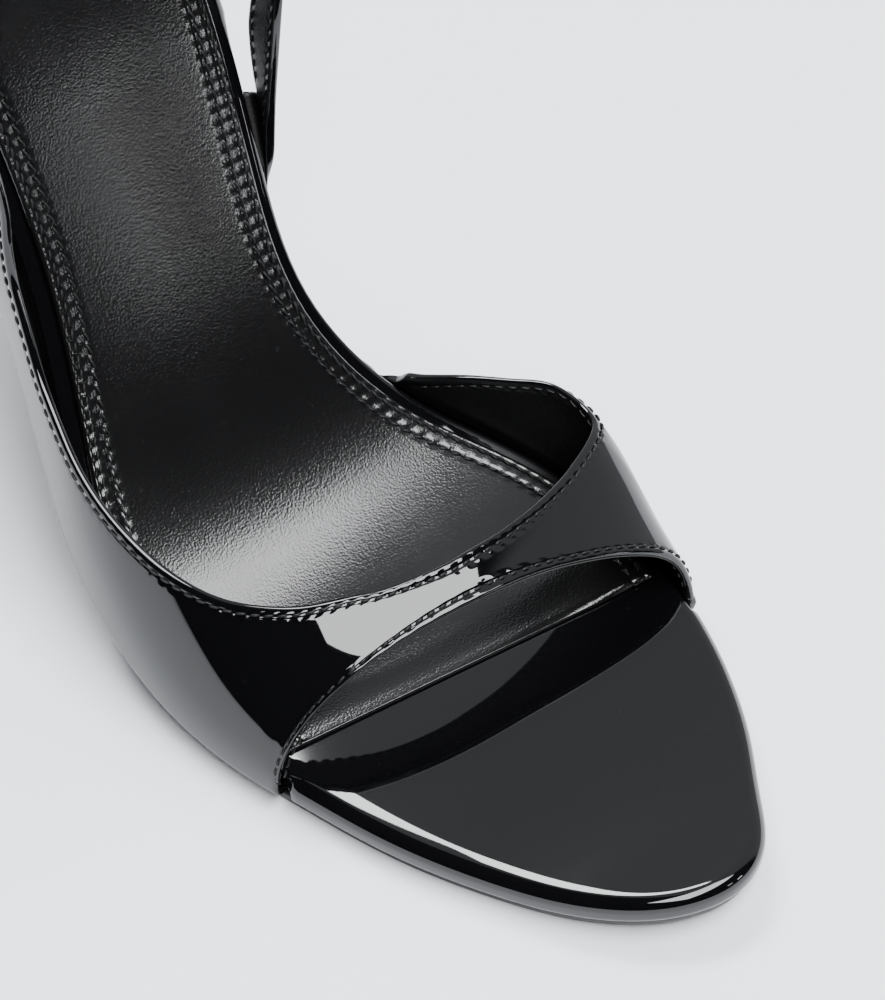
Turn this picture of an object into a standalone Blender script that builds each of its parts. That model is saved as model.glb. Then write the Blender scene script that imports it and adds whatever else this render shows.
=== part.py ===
import bpy
import bmesh
import numpy as np
from mathutils import Matrix

# A high heeled slingback sandal for the right foot.
# The maker's order is kept: the last gives the bed, the bed gives the sole and the
# heel seat, and the leather band is cut and laid on the same last.

# Sizes of the shoe, in metres
LENGTH = 0.203            # toe tip to the back of the heel seat, measured level
BALL_WIDTH = 0.0704       # widest part of the bed, across the ball of the foot
INSTEP = 0.055            # height of the last over the bed where the sling begins
TIP_LEAN = 0.0086         # how far the toe tip leans to the inner side
TIP_FADE = 0.025          # length over which that lean dies out
SOLE_AND_BED = 0.0068     # floor to the top of the bed, under the ball
BED = 0.0047              # thickness of the wrapped insole board
GAP = 0.0003              # room left for glue between two pieces
SOLE_INSET = 0.0012       # the leather sole stands in from the rim of the bed
WALL = 0.0015             # leather and lining of the upper, folded together
MARGIN_WALL = 0.0008      # the same, skived where it is lasted under the bed
MARGIN = 0.0052           # reach of the lasting margin under the bed
FEATHER = 0.0018          # outer radius where the upper turns under
WALL_DROP = 0.0020        # depth under the top of the bed where the last starts
SOCK = 0.0012             # padded sock
SOCK_INSET = 0.0034       # rim of bare patent left round the sock
SOCK_PAD = 0.0006         # how far the padding lifts the middle of the sock
STRAP_WIDTH = 0.0098      # sling strap
HEEL_TIP = 0.0062         # height of the top piece

# Plan of the bed: share of length, inner and outer half width as shares of the ball
PLAN = (
    (0.020, 0.149, 0.139),
    (0.059, 0.254, 0.222),
    (0.118, 0.386, 0.298),
    (0.187, 0.479, 0.375),
    (0.256, 0.526, 0.429),
    (0.325, 0.532, 0.478),
    (0.394, 0.466, 0.501),
    (0.468, 0.312, 0.484),
    (0.542, 0.236, 0.402),
    (0.616, 0.293, 0.324),
    (0.690, 0.349, 0.300),
    (0.788, 0.358, 0.330),
    (0.887, 0.361, 0.349),
    (0.946, 0.305, 0.303),
)

# Side view of the bed: share of length, slope in degrees (level ball, steep arch, seat)
PITCH = (
    (0.000, -11.0),
    (0.079, -5.5),
    (0.158, 0.0),
    (0.286, 0.0),
    (0.325, 5.5),
    (0.369, 14.2),
    (0.443, 30.5),
    (0.517, 43.6),
    (0.591, 49.6),
    (0.665, 50.9),
    (0.739, 45.0),
    (0.813, 33.0),
    (0.887, 24.0),
    (1.000, 19.0),
)

# The last over the bed: share of length, how far it stands out from the bed on the
# inner and outer side (shares of the ball), crown height (share of the instep),
# swell of the inner and outer flank (shares of the ball)
LAST = (
    (0.197, 0.0135, 0.0135, 0.318, 0.022, 0.000),
    (0.256, 0.0135, 0.0135, 0.373, 0.055, 0.000),
    (0.315, 0.0135, 0.0135, 0.473, 0.108, 0.000),
    (0.384, 0.0135, 0.0135, 0.618, 0.136, 0.009),
    (0.453, 0.0135, 0.0190, 0.782, 0.062, 0.014),
    (0.522, 0.0135, 0.0300, 0.909, 0.020, 0.014),
    (0.591, 0.0220, 0.0500, 1.000, 0.110, 0.009),
    (0.615, 0.0400, 0.0550, 1.030, 0.120, 0.012),
    (0.665, 0.0450, 0.0640, 1.091, 0.170, 0.020),
    (0.739, 0.0450, 0.0700, 1.164, 0.170, 0.030),
)

# The band as cut, a row for each place round the foot from the outer sling to the
# inner one. Lower edge and upper edge each have a share of length and a turn:
# 0 outer edge of the bed, 0.5 crown, 1 inner edge. A lower edge at 0 or 1 is lasted:
# there the margin goes on down the wall and under the bed. An upper edge beyond 1
# is hidden under the bed too, where the foot lies open at the waist.
BAND = (
    (0.640, 0.030, 0.604, 0.125),
    (0.632, 0.000, 0.598, 0.100),
    (0.618, 0.000, 0.585, 0.082),
    (0.571, 0.000, 0.552, 0.083),
    (0.507, 0.000, 0.500, 0.116),
    (0.438, 0.000, 0.441, 0.160),
    (0.374, 0.000, 0.394, 0.200),
    (0.318, 0.000, 0.359, 0.240),
    (0.283, 0.000, 0.334, 0.285),
    (0.270, 0.000, 0.323, 0.312),
    (0.271, 0.090, 0.313, 0.346),
    (0.271, 0.168, 0.307, 0.370),
    (0.268, 0.285, 0.297, 0.410),
    (0.263, 0.389, 0.291, 0.455),
    (0.257, 0.483, 0.288, 0.505),
    (0.251, 0.578, 0.288, 0.555),
    (0.241, 0.667, 0.292, 0.610),
    (0.233, 0.739, 0.301, 0.662),
    (0.226, 0.839, 0.312, 0.702),
    (0.220, 0.940, 0.323, 0.739),
    (0.216, 1.000, 0.337, 0.782),
    (0.236, 1.000, 0.358, 0.818),
    (0.286, 1.000, 0.380, 0.841),
    (0.340, 1.000, 0.406, 0.885),
    (0.393, 1.000, 0.430, 0.921),
    (0.443, 1.000, 0.457, 0.971),
    (0.460, 1.000, 0.467, 0.990),
    (0.476, 1.000, 0.476, 1.320),
    (0.512, 1.000, 0.512, 1.380),
    (0.570, 1.000, 0.570, 1.380),
    (0.594, 1.000, 0.589, 1.250),
    (0.610, 1.000, 0.600, 0.990),
    (0.628, 1.000, 0.607, 0.945),
    (0.644, 0.985, 0.612, 0.915),
    (0.650, 0.970, 0.618, 0.885),
)

# The sling between the two ends of the band: share of length, side step as a share
# of the ball, height as a share of the length
SLING = (
    (0.650, -0.400, 0.395),
    (0.712, -0.415, 0.520),
    (0.800, -0.405, 0.632),
    (0.905, -0.325, 0.712),
    (0.990, -0.165, 0.752),
    (1.022, 0.030, 0.764),
    (0.990, 0.215, 0.752),
    (0.905, 0.392, 0.708),
    (0.800, 0.478, 0.618),
    (0.712, 0.492, 0.492),
    (0.666, 0.458, 0.372),
)

# Heel: share of the way down, front and back as shares of length, half width as a
# share of the ball; the first row is the seat itself
HEEL = (
    (0.00, 0.826, 1.002, 0.330),
    (0.06, 0.840, 1.001, 0.300),
    (0.14, 0.862, 0.996, 0.240),
    (0.27, 0.878, 0.986, 0.170),
    (0.45, 0.887, 0.972, 0.118),
    (0.66, 0.891, 0.959, 0.092),
    (0.85, 0.895, 0.950, 0.077),
    (1.00, 0.896, 0.945, 0.072),
)
SEAT_INSET = 0.0010       # the heel stands in from the rim of the seat
BREAST = 0.812            # share of length where the sole ends and the heel begins

# Rim of the bed from its underside to its top: inset in metres, depth as a share of
# the thickness, and the same depth where the upper is lasted under it
BED_RIM = (
    (0.0068, 1.00, 1.00),
    (0.0064, 1.00, 0.76),
    (0.0016, 1.00, 0.76),
    (0.0006, 0.95, 0.70),
    (0.0000, 0.74, 0.58),
    (0.0000, 0.50, 0.44),
    (0.0003, 0.28, 0.28),
    (0.0011, 0.09, 0.09),
    (0.0022, 0.00, 0.00),
)
REBATE_SIDE = 0.0008      # the bed also stands in where the upper lies against it
# Where the upper is lasted under the bed, as shares of length, inner and outer side
LASTED = {
    1: ((0.205, 0.0), (0.210, 1.0), (0.655, 1.0), (0.670, 0.0)),
    -1: ((0.262, 0.0), (0.267, 1.0), (0.642, 1.0), (0.657, 0.0)),
}

# Sole from the floor up: inset past SOLE_INSET, depth under the top of the bed
SOLE_EDGE = (
    (0.0005, SOLE_AND_BED),
    (0.0000, SOLE_AND_BED - 0.0004),
    (0.0000, BED + GAP + 0.0003),
    (0.0003, BED + GAP),
)

# Sock from the bed up: inset past SOCK_INSET, share of its thickness
SOCK_EDGE = ((0.0, 0.0), (0.0, 0.6), (0.0005, 1.0))
SOCK_FRONT = 0.262        # front edge of the sock, share of length, at the middle
SOCK_SLANT = 0.0038       # how far the front edge runs back outside and forward inside
SOCK_FADE = 0.030         # length over which the cross rows straighten again
SKIVE = 0.010             # length over which the sock is thinned to its front edge

STATIONS = 50             # cross rows of bed, sole and sock
COLUMNS = 6               # faces across bed, sole and sock
BAND_STEP = 0.0031        # length of a face along the band
SLING_STEP = 0.0058       # the same along the sling
WALL_ROWS = 6             # faces across the band
SHARP = np.radians(40)     # folds steeper than this are shaded as edges
MARGIN_ROWS = 4           # faces across the lasting margin, as in MARGIN_AT
PLAN_SOFT = 0.035         # share of the turn from tip to back over which the plan is smoothed
SIDE_SOFT = 0.003         # length over which side view and last are smoothed
SLING_SOFT = 0.004        # length over which the sling's line is smoothed
SLING_EASE = 0.030        # length over which the sling turns from the band's ends
LEVEL_FROM, LEVEL_TO = 0.168, 0.276   # flat spot under the ball, shares of length
BALL_AT = 0.22            # where the height of the ball is set, share of length


def smooth(x, xs, ys, soft=0.0, snug=True):
    """A smooth curve through rows of a table; snug never swings past a row."""
    xs, ys = np.asarray(xs, float), np.asarray(ys, float)
    x = np.asarray(x, float)
    step = np.diff(xs)
    rise = np.diff(ys) / step
    tilt = np.concatenate([rise[:1], np.zeros(len(xs) - 2), rise[-1:]])
    a, b = rise[:-1], rise[1:]
    if snug:
        w1, w2 = 2 * step[1:] + step[:-1], step[1:] + 2 * step[:-1]
        same = a * b > 0
        safe_a, safe_b = np.where(same, a, 1.0), np.where(same, b, 1.0)
        tilt[1:-1] = np.where(same, (w1 + w2) / (w1 / safe_a + w2 / safe_b), 0.0)
    else:
        tilt[1:-1] = (a * step[1:] + b * step[:-1]) / (step[1:] + step[:-1])

    def at(v):
        k = np.clip(np.searchsorted(xs, v) - 1, 0, len(xs) - 2)
        u = (v - xs[k]) / step[k]
        c = np.clip(u, 0.0, 1.0)
        y = (2 * c**3 - 3 * c**2 + 1) * ys[k] + (3 * c**2 - 2 * c**3) * ys[k + 1]
        y = y + (c**3 - 2 * c**2 + c) * step[k] * tilt[k]
        y = y + (c**3 - c**2) * step[k] * tilt[k + 1]
        return y + (u - c) * step[k] * np.where(u < 0, tilt[0], tilt[-1])

    if soft == 0.0:
        return at(x)
    offsets = np.linspace(-1.0, 1.0, 9)
    weights = np.cos(offsets * np.pi / 2.2)**2
    weights = weights / weights.sum()
    return sum(w * at(x + soft * o) for w, o in zip(weights, offsets))


def column(table, index):
    return np.array([row[index] for row in table])


# The bed
# A place along the shoe is t, metres back from the toe tip; q runs from 0 at the tip
# to 1 at the back and is spread so that both round ends get enough rows.
def q_of(t):
    return np.arccos(np.clip(1 - 2 * np.asarray(t, float) / LENGTH, -1.0, 1.0)) / np.pi


def t_of(q):
    return LENGTH * (1 - np.cos(np.pi * np.asarray(q, float))) / 2


PLAN_Q = q_of(column(PLAN, 0) * LENGTH)
PLAN_Q = np.concatenate([[-PLAN_Q[0], 0.0], PLAN_Q, [1.0, 2.0 - PLAN_Q[-1]]])


def half_width(q, side):
    share = column(PLAN, 1 if side > 0 else 2)
    share = np.concatenate([[-share[0], 0.0], share, [0.0, -share[-1]]])
    return BALL_WIDTH * smooth(q, PLAN_Q, share, PLAN_SOFT)


def plan_point(q, side):
    t = t_of(q)
    x = TIP_LEAN * np.exp(-t / TIP_FADE) + side * half_width(q, side)
    return np.stack([x, t], -1)


def rim(q, side, inset):
    """The edge of the bed in plan, moved in square to itself by inset."""
    q = np.asarray(q, float)
    small = 1e-3
    run = plan_point(np.clip(q + small, 0, 1), side) - plan_point(np.clip(q - small, 0, 1), side)
    run[q <= small] = (side, 0.0)
    run[q >= 1 - small] = (-side, 0.0)
    run = run / np.linalg.norm(run, axis=-1, keepdims=True)
    inward = np.stack([-run[..., 1], run[..., 0]], -1) * side
    return plan_point(q, side) + inward * np.asarray(inset)[..., None]


PROFILE_T = np.linspace(-0.006, LENGTH + 0.012, 881)
PITCH_DEG = smooth(PROFILE_T, column(PITCH, 0) * LENGTH, column(PITCH, 1), SIDE_SOFT)
PITCH_T = np.tan(np.radians(PITCH_DEG))
LEVEL = (PROFILE_T > LEVEL_FROM * LENGTH) & (PROFILE_T < LEVEL_TO * LENGTH)
PITCH_T = np.where(LEVEL, 0.0, PITCH_T)
RISE = (PITCH_T[1:] + PITCH_T[:-1]) / 2 * np.diff(PROFILE_T)
PROFILE_Z = np.concatenate([[0], np.cumsum(RISE)])
PROFILE_Z = PROFILE_Z - np.interp(BALL_AT * LENGTH, PROFILE_T, PROFILE_Z) + SOLE_AND_BED


def bed_height(t):
    return np.interp(t, PROFILE_T, PROFILE_Z)


def bed_lean(t):
    return np.interp(t, PROFILE_T, np.maximum(np.arctan(PITCH_T), 0.0))


def under_bed(plan, depth):
    """A plan point sunk square to the bed by depth."""
    x, t = plan[..., 0], plan[..., 1]
    lean = bed_lean(t)
    return np.stack([x, t + depth * np.sin(lean), bed_height(t) - depth * np.cos(lean)], -1)


def cross_rows(q, inset, depth, slant=0.0):
    """Rows of points across the bed; slant turns the first rows to a slanted line."""
    shares = np.linspace(0.0, 1.0, COLUMNS + 1)
    t = t_of(q)
    fade = np.clip(1 - (t - t[0]) / SOCK_FADE, 0, 1)[:, None]**2
    t = t[:, None] + slant * (1 - 2 * shares)[None, :] * fade
    q = np.where(fade > 0, q_of(t), np.asarray(q)[:, None])
    sides = []
    for side in (-1, 1):
        step = inset(t[:, 0], side) if callable(inset) else inset
        step = np.broadcast_to(np.asarray(step, float).reshape(-1, 1), q.shape)
        sides.append(rim(q, side, step))
    plan = sides[0] * (1 - shares[:, None]) + sides[1] * shares[:, None]
    return under_bed(plan, depth(t, shares) if callable(depth) else depth)


def lasted(t, side):
    rows = LASTED[side]
    return np.interp(t, column(rows, 0) * LENGTH, column(rows, 1))


def loop_of(rows):
    """The border of a grid of rows as one ring of points."""
    return np.concatenate([rows[0, :-1], rows[:-1, -1], rows[-1, ::-1][:-1], rows[::-1, 0][:-1]])


def slab(name, material, rings):
    """A solid from border rings, closed by the grid inside the first and last ring."""
    bm = bmesh.new()
    grids, loops = [], []
    for k, rows in enumerate(rings):
        if k in (0, len(rings) - 1):
            grid = [[bm.verts.new(p) for p in row] for row in rows]
            grids.append(grid)
            n, m = len(grid), len(grid[0])
            loop = grid[0][:-1] + [grid[i][m - 1] for i in range(n - 1)]
            loop += grid[n - 1][::-1][:-1] + [grid[i][0] for i in range(n - 1, 0, -1)]
            loops.append(loop)
        else:
            loops.append([bm.verts.new(p) for p in loop_of(rows)])
    for low, high in zip(loops, loops[1:]):
        for i in range(len(low)):
            j = (i + 1) % len(low)
            bm.faces.new((low[i], low[j], high[j], high[i]))
    for grid, up in zip(grids, (False, True)):
        for a, b in zip(grid, grid[1:]):
            for i in range(len(a) - 1):
                face = (a[i], a[i + 1], b[i + 1], b[i])
                bm.faces.new(face if up else face[::-1])
    return finish(name, material, bm)


def finish(name, material, bm, sheet=False):
    bmesh.ops.remove_doubles(bm, verts=bm.verts, dist=2e-6)
    bmesh.ops.dissolve_degenerate(bm, edges=bm.edges, dist=1e-6)
    if not sheet:
        bmesh.ops.recalc_face_normals(bm, faces=bm.faces)
    mesh = bpy.data.meshes.new(name)
    bm.to_mesh(mesh)
    bm.free()
    mesh.shade_smooth()
    mesh.set_sharp_from_angle(angle=SHARP)
    obj = bpy.data.objects.new(name, mesh)
    shoe.objects.link(obj)
    mesh.materials.append(material)
    return obj


# The upper
def width_at(t, side):
    q = q_of(np.clip(t, 1e-5, LENGTH - 1e-5))
    return TIP_LEAN * np.exp(-np.asarray(t) / TIP_FADE) + side * half_width(q, side)


def last(t, index, size):
    return size * smooth(t, column(LAST, 0) * LENGTH, column(LAST, index), SIDE_SOFT)


def stand_out(t, side):
    """How far the last stands out from the bed, measured level across the shoe."""
    small = 0.0005
    slope = (width_at(t + small, side) - width_at(t - small, side)) / (2 * small)
    return last(t, 1 if side > 0 else 2, BALL_WIDTH) * np.sqrt(1 + slope**2)


def last_point(t, turn):
    """A point on the outside of the upper, at t along and turn round the foot."""
    inner = width_at(t, 1) + stand_out(t, 1)
    outer = width_at(t, -1) - stand_out(t, -1)
    middle, reach = (inner + outer) / 2, (inner - outer) / 2
    angle = np.pi * np.clip(turn, 0.0, 1.0)
    swell = np.where(turn > 0.5, last(t, 4, BALL_WIDTH), -last(t, 5, BALL_WIDTH))
    x = middle - reach * np.cos(angle) + swell * np.sin(2 * angle)**2
    lean = bed_lean(t) * (1 - np.sin(angle))**2
    z = bed_height(t) - WALL_DROP * np.cos(lean) + last(t, 3, INSTEP) * np.sin(angle)
    return np.stack([x, t + WALL_DROP * np.sin(lean), z], -1)


FOLD_DOWN = BED - WALL_DROP - FEATHER
FOLD_ROUND = FEATHER * np.pi / 2
FOLD = FOLD_DOWN + FOLD_ROUND + MARGIN
# Where the rows of the margin lie, as shares of its width, from its end to the wall
MARGIN_AT = (1.0, (FOLD_DOWN + FOLD_ROUND) / FOLD, (FOLD_DOWN + FOLD_ROUND / 2) / FOLD,
             FOLD_DOWN / FOLD, 0.0)


def margin_point(t, side, share):
    """A point down the wall, round the feather edge and under the bed."""
    run = share * FOLD
    corner = np.clip((run - FOLD_DOWN) / FOLD_ROUND, 0.0, 1.0) * np.pi / 2
    under = np.clip(run - FOLD_DOWN - FOLD_ROUND, 0.0, MARGIN)
    depth = WALL_DROP + np.clip(run, 0.0, FOLD_DOWN) + FEATHER * np.sin(corner)
    stand = stand_out(t, side)
    plan = np.stack([width_at(t, side) + side * stand, t], -1)
    past = np.clip(last(t, 1 if side > 0 else 2, BALL_WIDTH) - WALL - GAP, 0.0, None)
    inward = FEATHER * (1 - np.cos(corner)) + under
    inward = (inward + past * np.clip(run / (FOLD_DOWN + FOLD_ROUND), 0, 1))[..., None]
    q = q_of(t)
    square = rim(q, side, np.ones(np.shape(q))) - rim(q, side, np.zeros(np.shape(q)))
    return under_bed(plan + square * inward, depth)


def upper_point(t, turn):
    over = last_point(t, turn)
    outer = margin_point(t, -1, np.clip(-turn, 0.0, 1.0))
    inner = margin_point(t, 1, np.clip(turn - 1.0, 0.0, 1.0))
    return np.where((turn < 0)[..., None], outer, np.where((turn > 1)[..., None], inner, over))


def band_rows():
    """Stations round the band: points from lower to upper edge, and their turns."""
    low_t, low_turn, top_t, top_turn = (column(BAND, k) for k in range(4))
    low = upper_point(low_t * LENGTH, low_turn)
    top = upper_point(top_t * LENGTH, top_turn)
    steps = [np.linalg.norm(np.diff(line, axis=0), axis=1) for line in (low, top, (low + top) / 2)]
    at = np.concatenate([[0], np.cumsum(np.maximum((steps[0] + steps[1]) / 2, steps[2]))])
    folded = (low_turn <= 0) | (low_turn >= 1)
    turns_under = np.flatnonzero(folded[1:] != folded[:-1])
    fixed = at[np.unique(np.concatenate([turns_under, turns_under + 1]))]
    s = np.linspace(0, at[-1], int(at[-1] / BAND_STEP))
    near = np.abs(s[:, None] - fixed[None, :]).min(axis=1) < BAND_STEP / 3
    s = np.union1d(s[~near | (s == 0) | (s == at[-1])], fixed)
    rows, turns = [], []
    for a, b, c, d in zip(*(smooth(s, at, line) for line in (low_t, low_turn, top_t, top_turn))):
        side = -1 if b < 0.5 else 1
        if b < 1e-6 or b > 1 - 1e-6:
            fold = (0.0 if side < 0 else 1.0) + side * np.array(MARGIN_AT)
            fold = np.maximum(fold, d) if side > 0 else fold
        else:
            fold = np.full(len(MARGIN_AT), b)
        w = np.linspace(0, 1, WALL_ROWS + 1)[1:]
        turn = np.concatenate([fold, fold[-1] + (d - fold[-1]) * w])
        t = np.concatenate([np.full(len(fold), a), a + (c - a) * w])
        rows.append(upper_point(t * LENGTH, turn))
        turns.append(turn)
    return np.array(rows), np.array(turns)


def sling_rows(first, last_row):
    """The strap from the outer end of the band round the heel to the inner end."""
    knots = np.array([(x * BALL_WIDTH, t * LENGTH, z * LENGTH) for t, x, z in SLING])
    ends = [r[MARGIN_ROWS:].mean(axis=0) for r in (first[1], first[0], last_row[-1], last_row[-2])]
    path = np.vstack([ends[0], ends[1], knots, ends[2], ends[3]])
    at = np.concatenate([[0], np.cumsum(np.linalg.norm(np.diff(path, axis=0), axis=1))])
    count = int((at[-2] - at[1]) / SLING_STEP)
    s = np.linspace(at[1], at[-2], count + 1)
    line = np.stack([smooth(s, at, path[:, k], SLING_SOFT, False) for k in range(3)], -1)
    line[0], line[-1] = ends[1], ends[2]
    run = np.gradient(line, axis=0)
    run /= np.linalg.norm(run, axis=1, keepdims=True)
    outward = np.stack([-run[:, 1], run[:, 0], 0 * run[:, 0]], -1)
    outward /= np.linalg.norm(outward, axis=1, keepdims=True)
    up = np.cross(run, outward)
    up *= np.sign(up[:, 2:3])
    far = np.minimum(np.arange(len(s)), np.arange(len(s))[::-1]) * SLING_STEP
    ease = np.clip(far / SLING_EASE, 0, 1)
    ease = (ease * ease * (3 - 2 * ease))[:, None]
    end_up = np.where((np.arange(len(s)) < len(s) / 2)[:, None],
                      first[0][-1] - first[0][MARGIN_ROWS], last_row[-1][-1] - last_row[-1][MARGIN_ROWS])
    span = np.linalg.norm(end_up, axis=1, keepdims=True)
    across = up * ease + end_up / span * (1 - ease)
    across /= np.linalg.norm(across, axis=1, keepdims=True)
    width = STRAP_WIDTH * ease + span * (1 - ease)
    v = np.linspace(-0.5, 0.5, WALL_ROWS + 1)
    rows = line[:, None] + (across * width)[:, None] * v[None, :, None]
    fold = np.repeat(rows[:, :1], MARGIN_ROWS, axis=1)
    return np.concatenate([fold, rows], axis=1)[1:-1]


def build_upper(material):
    band, turns = band_rows()
    sling = sling_rows(band[:2], band[-2:])
    ring = np.concatenate([band, sling[::-1]])
    turns = np.concatenate([turns, np.full(sling.shape[:2], 0.5)])
    under = np.maximum(-turns, turns - 1).clip(0, 1) * FOLD / (FOLD_DOWN + FOLD_ROUND / 2)
    wall = 1 - (1 - MARGIN_WALL / WALL) * under.clip(0, 1)
    folded = under[:, 0] > 0
    bm = bmesh.new()
    deform = bm.verts.layers.deform.verify()
    grid = [[bm.verts.new(p) for p in row] for row in ring]
    for row, shares in zip(grid, wall):
        for vert, share in zip(row, shares):
            vert[deform][0] = share
    for i in range(len(grid)):
        k = (i + 1) % len(grid)
        start = 0 if folded[i] and folded[k] else MARGIN_ROWS
        for j in range(start, MARGIN_ROWS + WALL_ROWS):
            bm.faces.new((grid[i][j], grid[k][j], grid[k][j + 1], grid[i][j + 1]))
    loose = [vert for vert in bm.verts if not vert.link_faces]
    bmesh.ops.delete(bm, geom=loose, context="VERTS")
    obj = finish("upper", material, bm, sheet=True)
    obj.vertex_groups.new(name="wall")
    shell = obj.modifiers.new("wall", "SOLIDIFY")
    shell.thickness = WALL
    shell.offset = -1.0
    shell.use_even_offset = False
    shell.vertex_group = "wall"
    return obj


def build_bed(material):
    stations = np.linspace(0.0, 1.0, STATIONS + 1)
    extra = [q_of(row[0] * LENGTH) for side in (-1, 1) for row in LASTED[side]]
    q = np.unique(np.concatenate([stations, extra]))
    rings = []
    for k, (inset, plain, cut) in enumerate(BED_RIM):
        def step(t, side, inset=inset, k=k):
            side_cut = REBATE_SIDE if 1 < k < len(BED_RIM) - 2 else 0.0
            return inset + side_cut * lasted(t, side)

        def depth(t, shares, plain=plain, cut=cut):
            side = np.where(shares[None, :] > 0.5, lasted(t, 1), lasted(t, -1))
            return BED * (plain + (cut - plain) * side)
        rings.append(cross_rows(q, step, BED if k == 0 else depth))
    return slab("footbed", material, rings)


def build_sole(material):
    q = np.linspace(0.0, q_of(BREAST * LENGTH - GAP), STATIONS - 8)
    rings = [cross_rows(q, SOLE_INSET + inset, depth) for inset, depth in SOLE_EDGE]
    return slab("outsole", material, rings)


def build_sock(material):
    q = np.linspace(q_of(SOCK_FRONT * LENGTH), 1.0, STATIONS - 10)
    front = SOCK_FRONT * LENGTH
    rings = []
    for inset, share in SOCK_EDGE:
        def depth(t, shares, share=share):
            thin = np.clip((t - front + SOCK_SLANT * (2 * shares - 1)) / SKIVE, 0.0, 1.0)
            pad = SOCK_PAD * 4 * shares * (1 - shares)
            return -GAP - share * (SOCK * (0.4 + 0.6 * thin) + pad * thin)
        rings.append(cross_rows(q, SOCK_INSET + inset, depth, SOCK_SLANT))
    return slab("sock", material, rings)


def build_heel(material):
    q = np.linspace(q_of(BREAST * LENGTH), 1.0, 11)
    shares = np.linspace(0.0, 1.0, 5)
    back = np.concatenate([rim(q, 1, np.full(11, SEAT_INSET)), rim(q, -1, np.full(11, SEAT_INSET))[-2::-1]])
    breast = back[-1] * (1 - shares[1:-1, None]) + back[0] * shares[1:-1, None]
    seat = np.concatenate([back, breast])
    middle = (seat.max(axis=0) + seat.min(axis=0)) / 2
    reach = (seat.max(axis=0) - seat.min(axis=0)) / 2
    angles = np.arctan2((seat[:, 1] - middle[1]) / reach[1], (seat[:, 0] - middle[0]) / reach[0])
    square = (seat - middle) / reach
    round_ = np.stack([np.cos(angles), np.sin(angles)], -1)
    top = under_bed(seat, BED + GAP)
    foot = HEEL_TIP + GAP
    bm = bmesh.new()
    rings = []
    for scale in (0.0, 0.35, 0.7):
        cap = under_bed(middle + (seat - middle) * scale, BED + GAP)
        rings.append([bm.verts.new(p) for p in cap])
    rings.append([bm.verts.new(p) for p in top])
    for down, front, rear, half in HEEL[1:]:
        share = min(down / 0.3, 1.0)
        form = square * (1 - share) + round_ * share
        x = middle[0] + form[:, 0] * half * BALL_WIDTH
        t = (front + rear) / 2 * LENGTH + form[:, 1] * (rear - front) / 2 * LENGTH
        z = top[:, 2] * (1 - down) + foot * down
        rings.append([bm.verts.new(p) for p in np.stack([x, t, z], -1)])
    for low, high in zip(rings, rings[1:]):
        for i in range(len(low)):
            j = (i + 1) % len(low)
            bm.faces.new((low[i], low[j], high[j], high[i]))
    bm.faces.new(rings[-1])
    return finish("heel", material, bm)


def build_heel_tip(material):
    front, rear, half = HEEL[-1][1:]
    middle = ((rim(np.array([0.9]), 1, np.zeros(1)) + rim(np.array([0.9]), -1, np.zeros(1))) / 2)[0]
    angles = np.linspace(0, 2 * np.pi, 24, endpoint=False)
    bm = bmesh.new()
    rings = []
    for z, share in ((HEEL_TIP, 0.97), (HEEL_TIP - 0.0003, 1.0), (0.0006, 1.0), (0.0, 0.93)):
        x = middle[0] + np.cos(angles) * half * BALL_WIDTH * share
        t = (front + rear) / 2 * LENGTH + np.sin(angles) * (rear - front) / 2 * LENGTH * share
        rings.append([bm.verts.new((a, b, z)) for a, b in zip(x, t)])
    for low, high in zip(rings, rings[1:]):
        for i in range(len(low)):
            j = (i + 1) % len(low)
            bm.faces.new((low[i], low[j], high[j], high[i]))
    bm.faces.new(rings[0])
    bm.faces.new(rings[-1])
    return finish("heel_tip", material, bm)


# Colours stand for the materials
def surface(name, colour, roughness):
    material = bpy.data.materials.new(name)
    material.use_nodes = True
    shader = material.node_tree.nodes["Principled BSDF"]
    shader.inputs["Base Color"].default_value = (*colour, 1.0)
    shader.inputs["Roughness"].default_value = roughness
    return material


for old in list(bpy.data.objects):
    bpy.data.objects.remove(old, do_unlink=True)

shoe = bpy.data.collections.new("slingback_sandal")
bpy.context.scene.collection.children.link(shoe)

patent = surface("patent_leather", (0.015, 0.015, 0.018), 0.08)
nappa = surface("nappa_leather", (0.02, 0.02, 0.02), 0.45)
leather = surface("sole_leather", (0.03, 0.03, 0.03), 0.5)
rubber = surface("tip_rubber", (0.02, 0.02, 0.02), 0.6)
pieces = [
    build_sole(leather),
    build_bed(patent),
    build_sock(nappa),
    build_upper(patent),
    build_heel(patent),
    build_heel_tip(rubber),
]

# The shoe is moved level so that the middle of its plan is at the origin
corners = np.array([vert.co for piece in pieces for vert in piece.data.vertices])
centre = (corners.max(axis=0) + corners.min(axis=0)) / 2
for piece in pieces:
    piece.data.transform(Matrix.Translation((-centre[0], -centre[1], 0.0)))
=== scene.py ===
# %% [markdown]
# A black patent slingback sandal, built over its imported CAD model.
# Every piece below is made again from the same named sizes as the CAD solids, only
# with many more points, because patent leather mirrors the studio and would show
# each facet of a coarse mesh. The frame is loaded first and never moved.

# %% Load the frame
import bmesh
import bpy
import numpy as np
from mathutils import Matrix, Vector, kdtree


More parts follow.
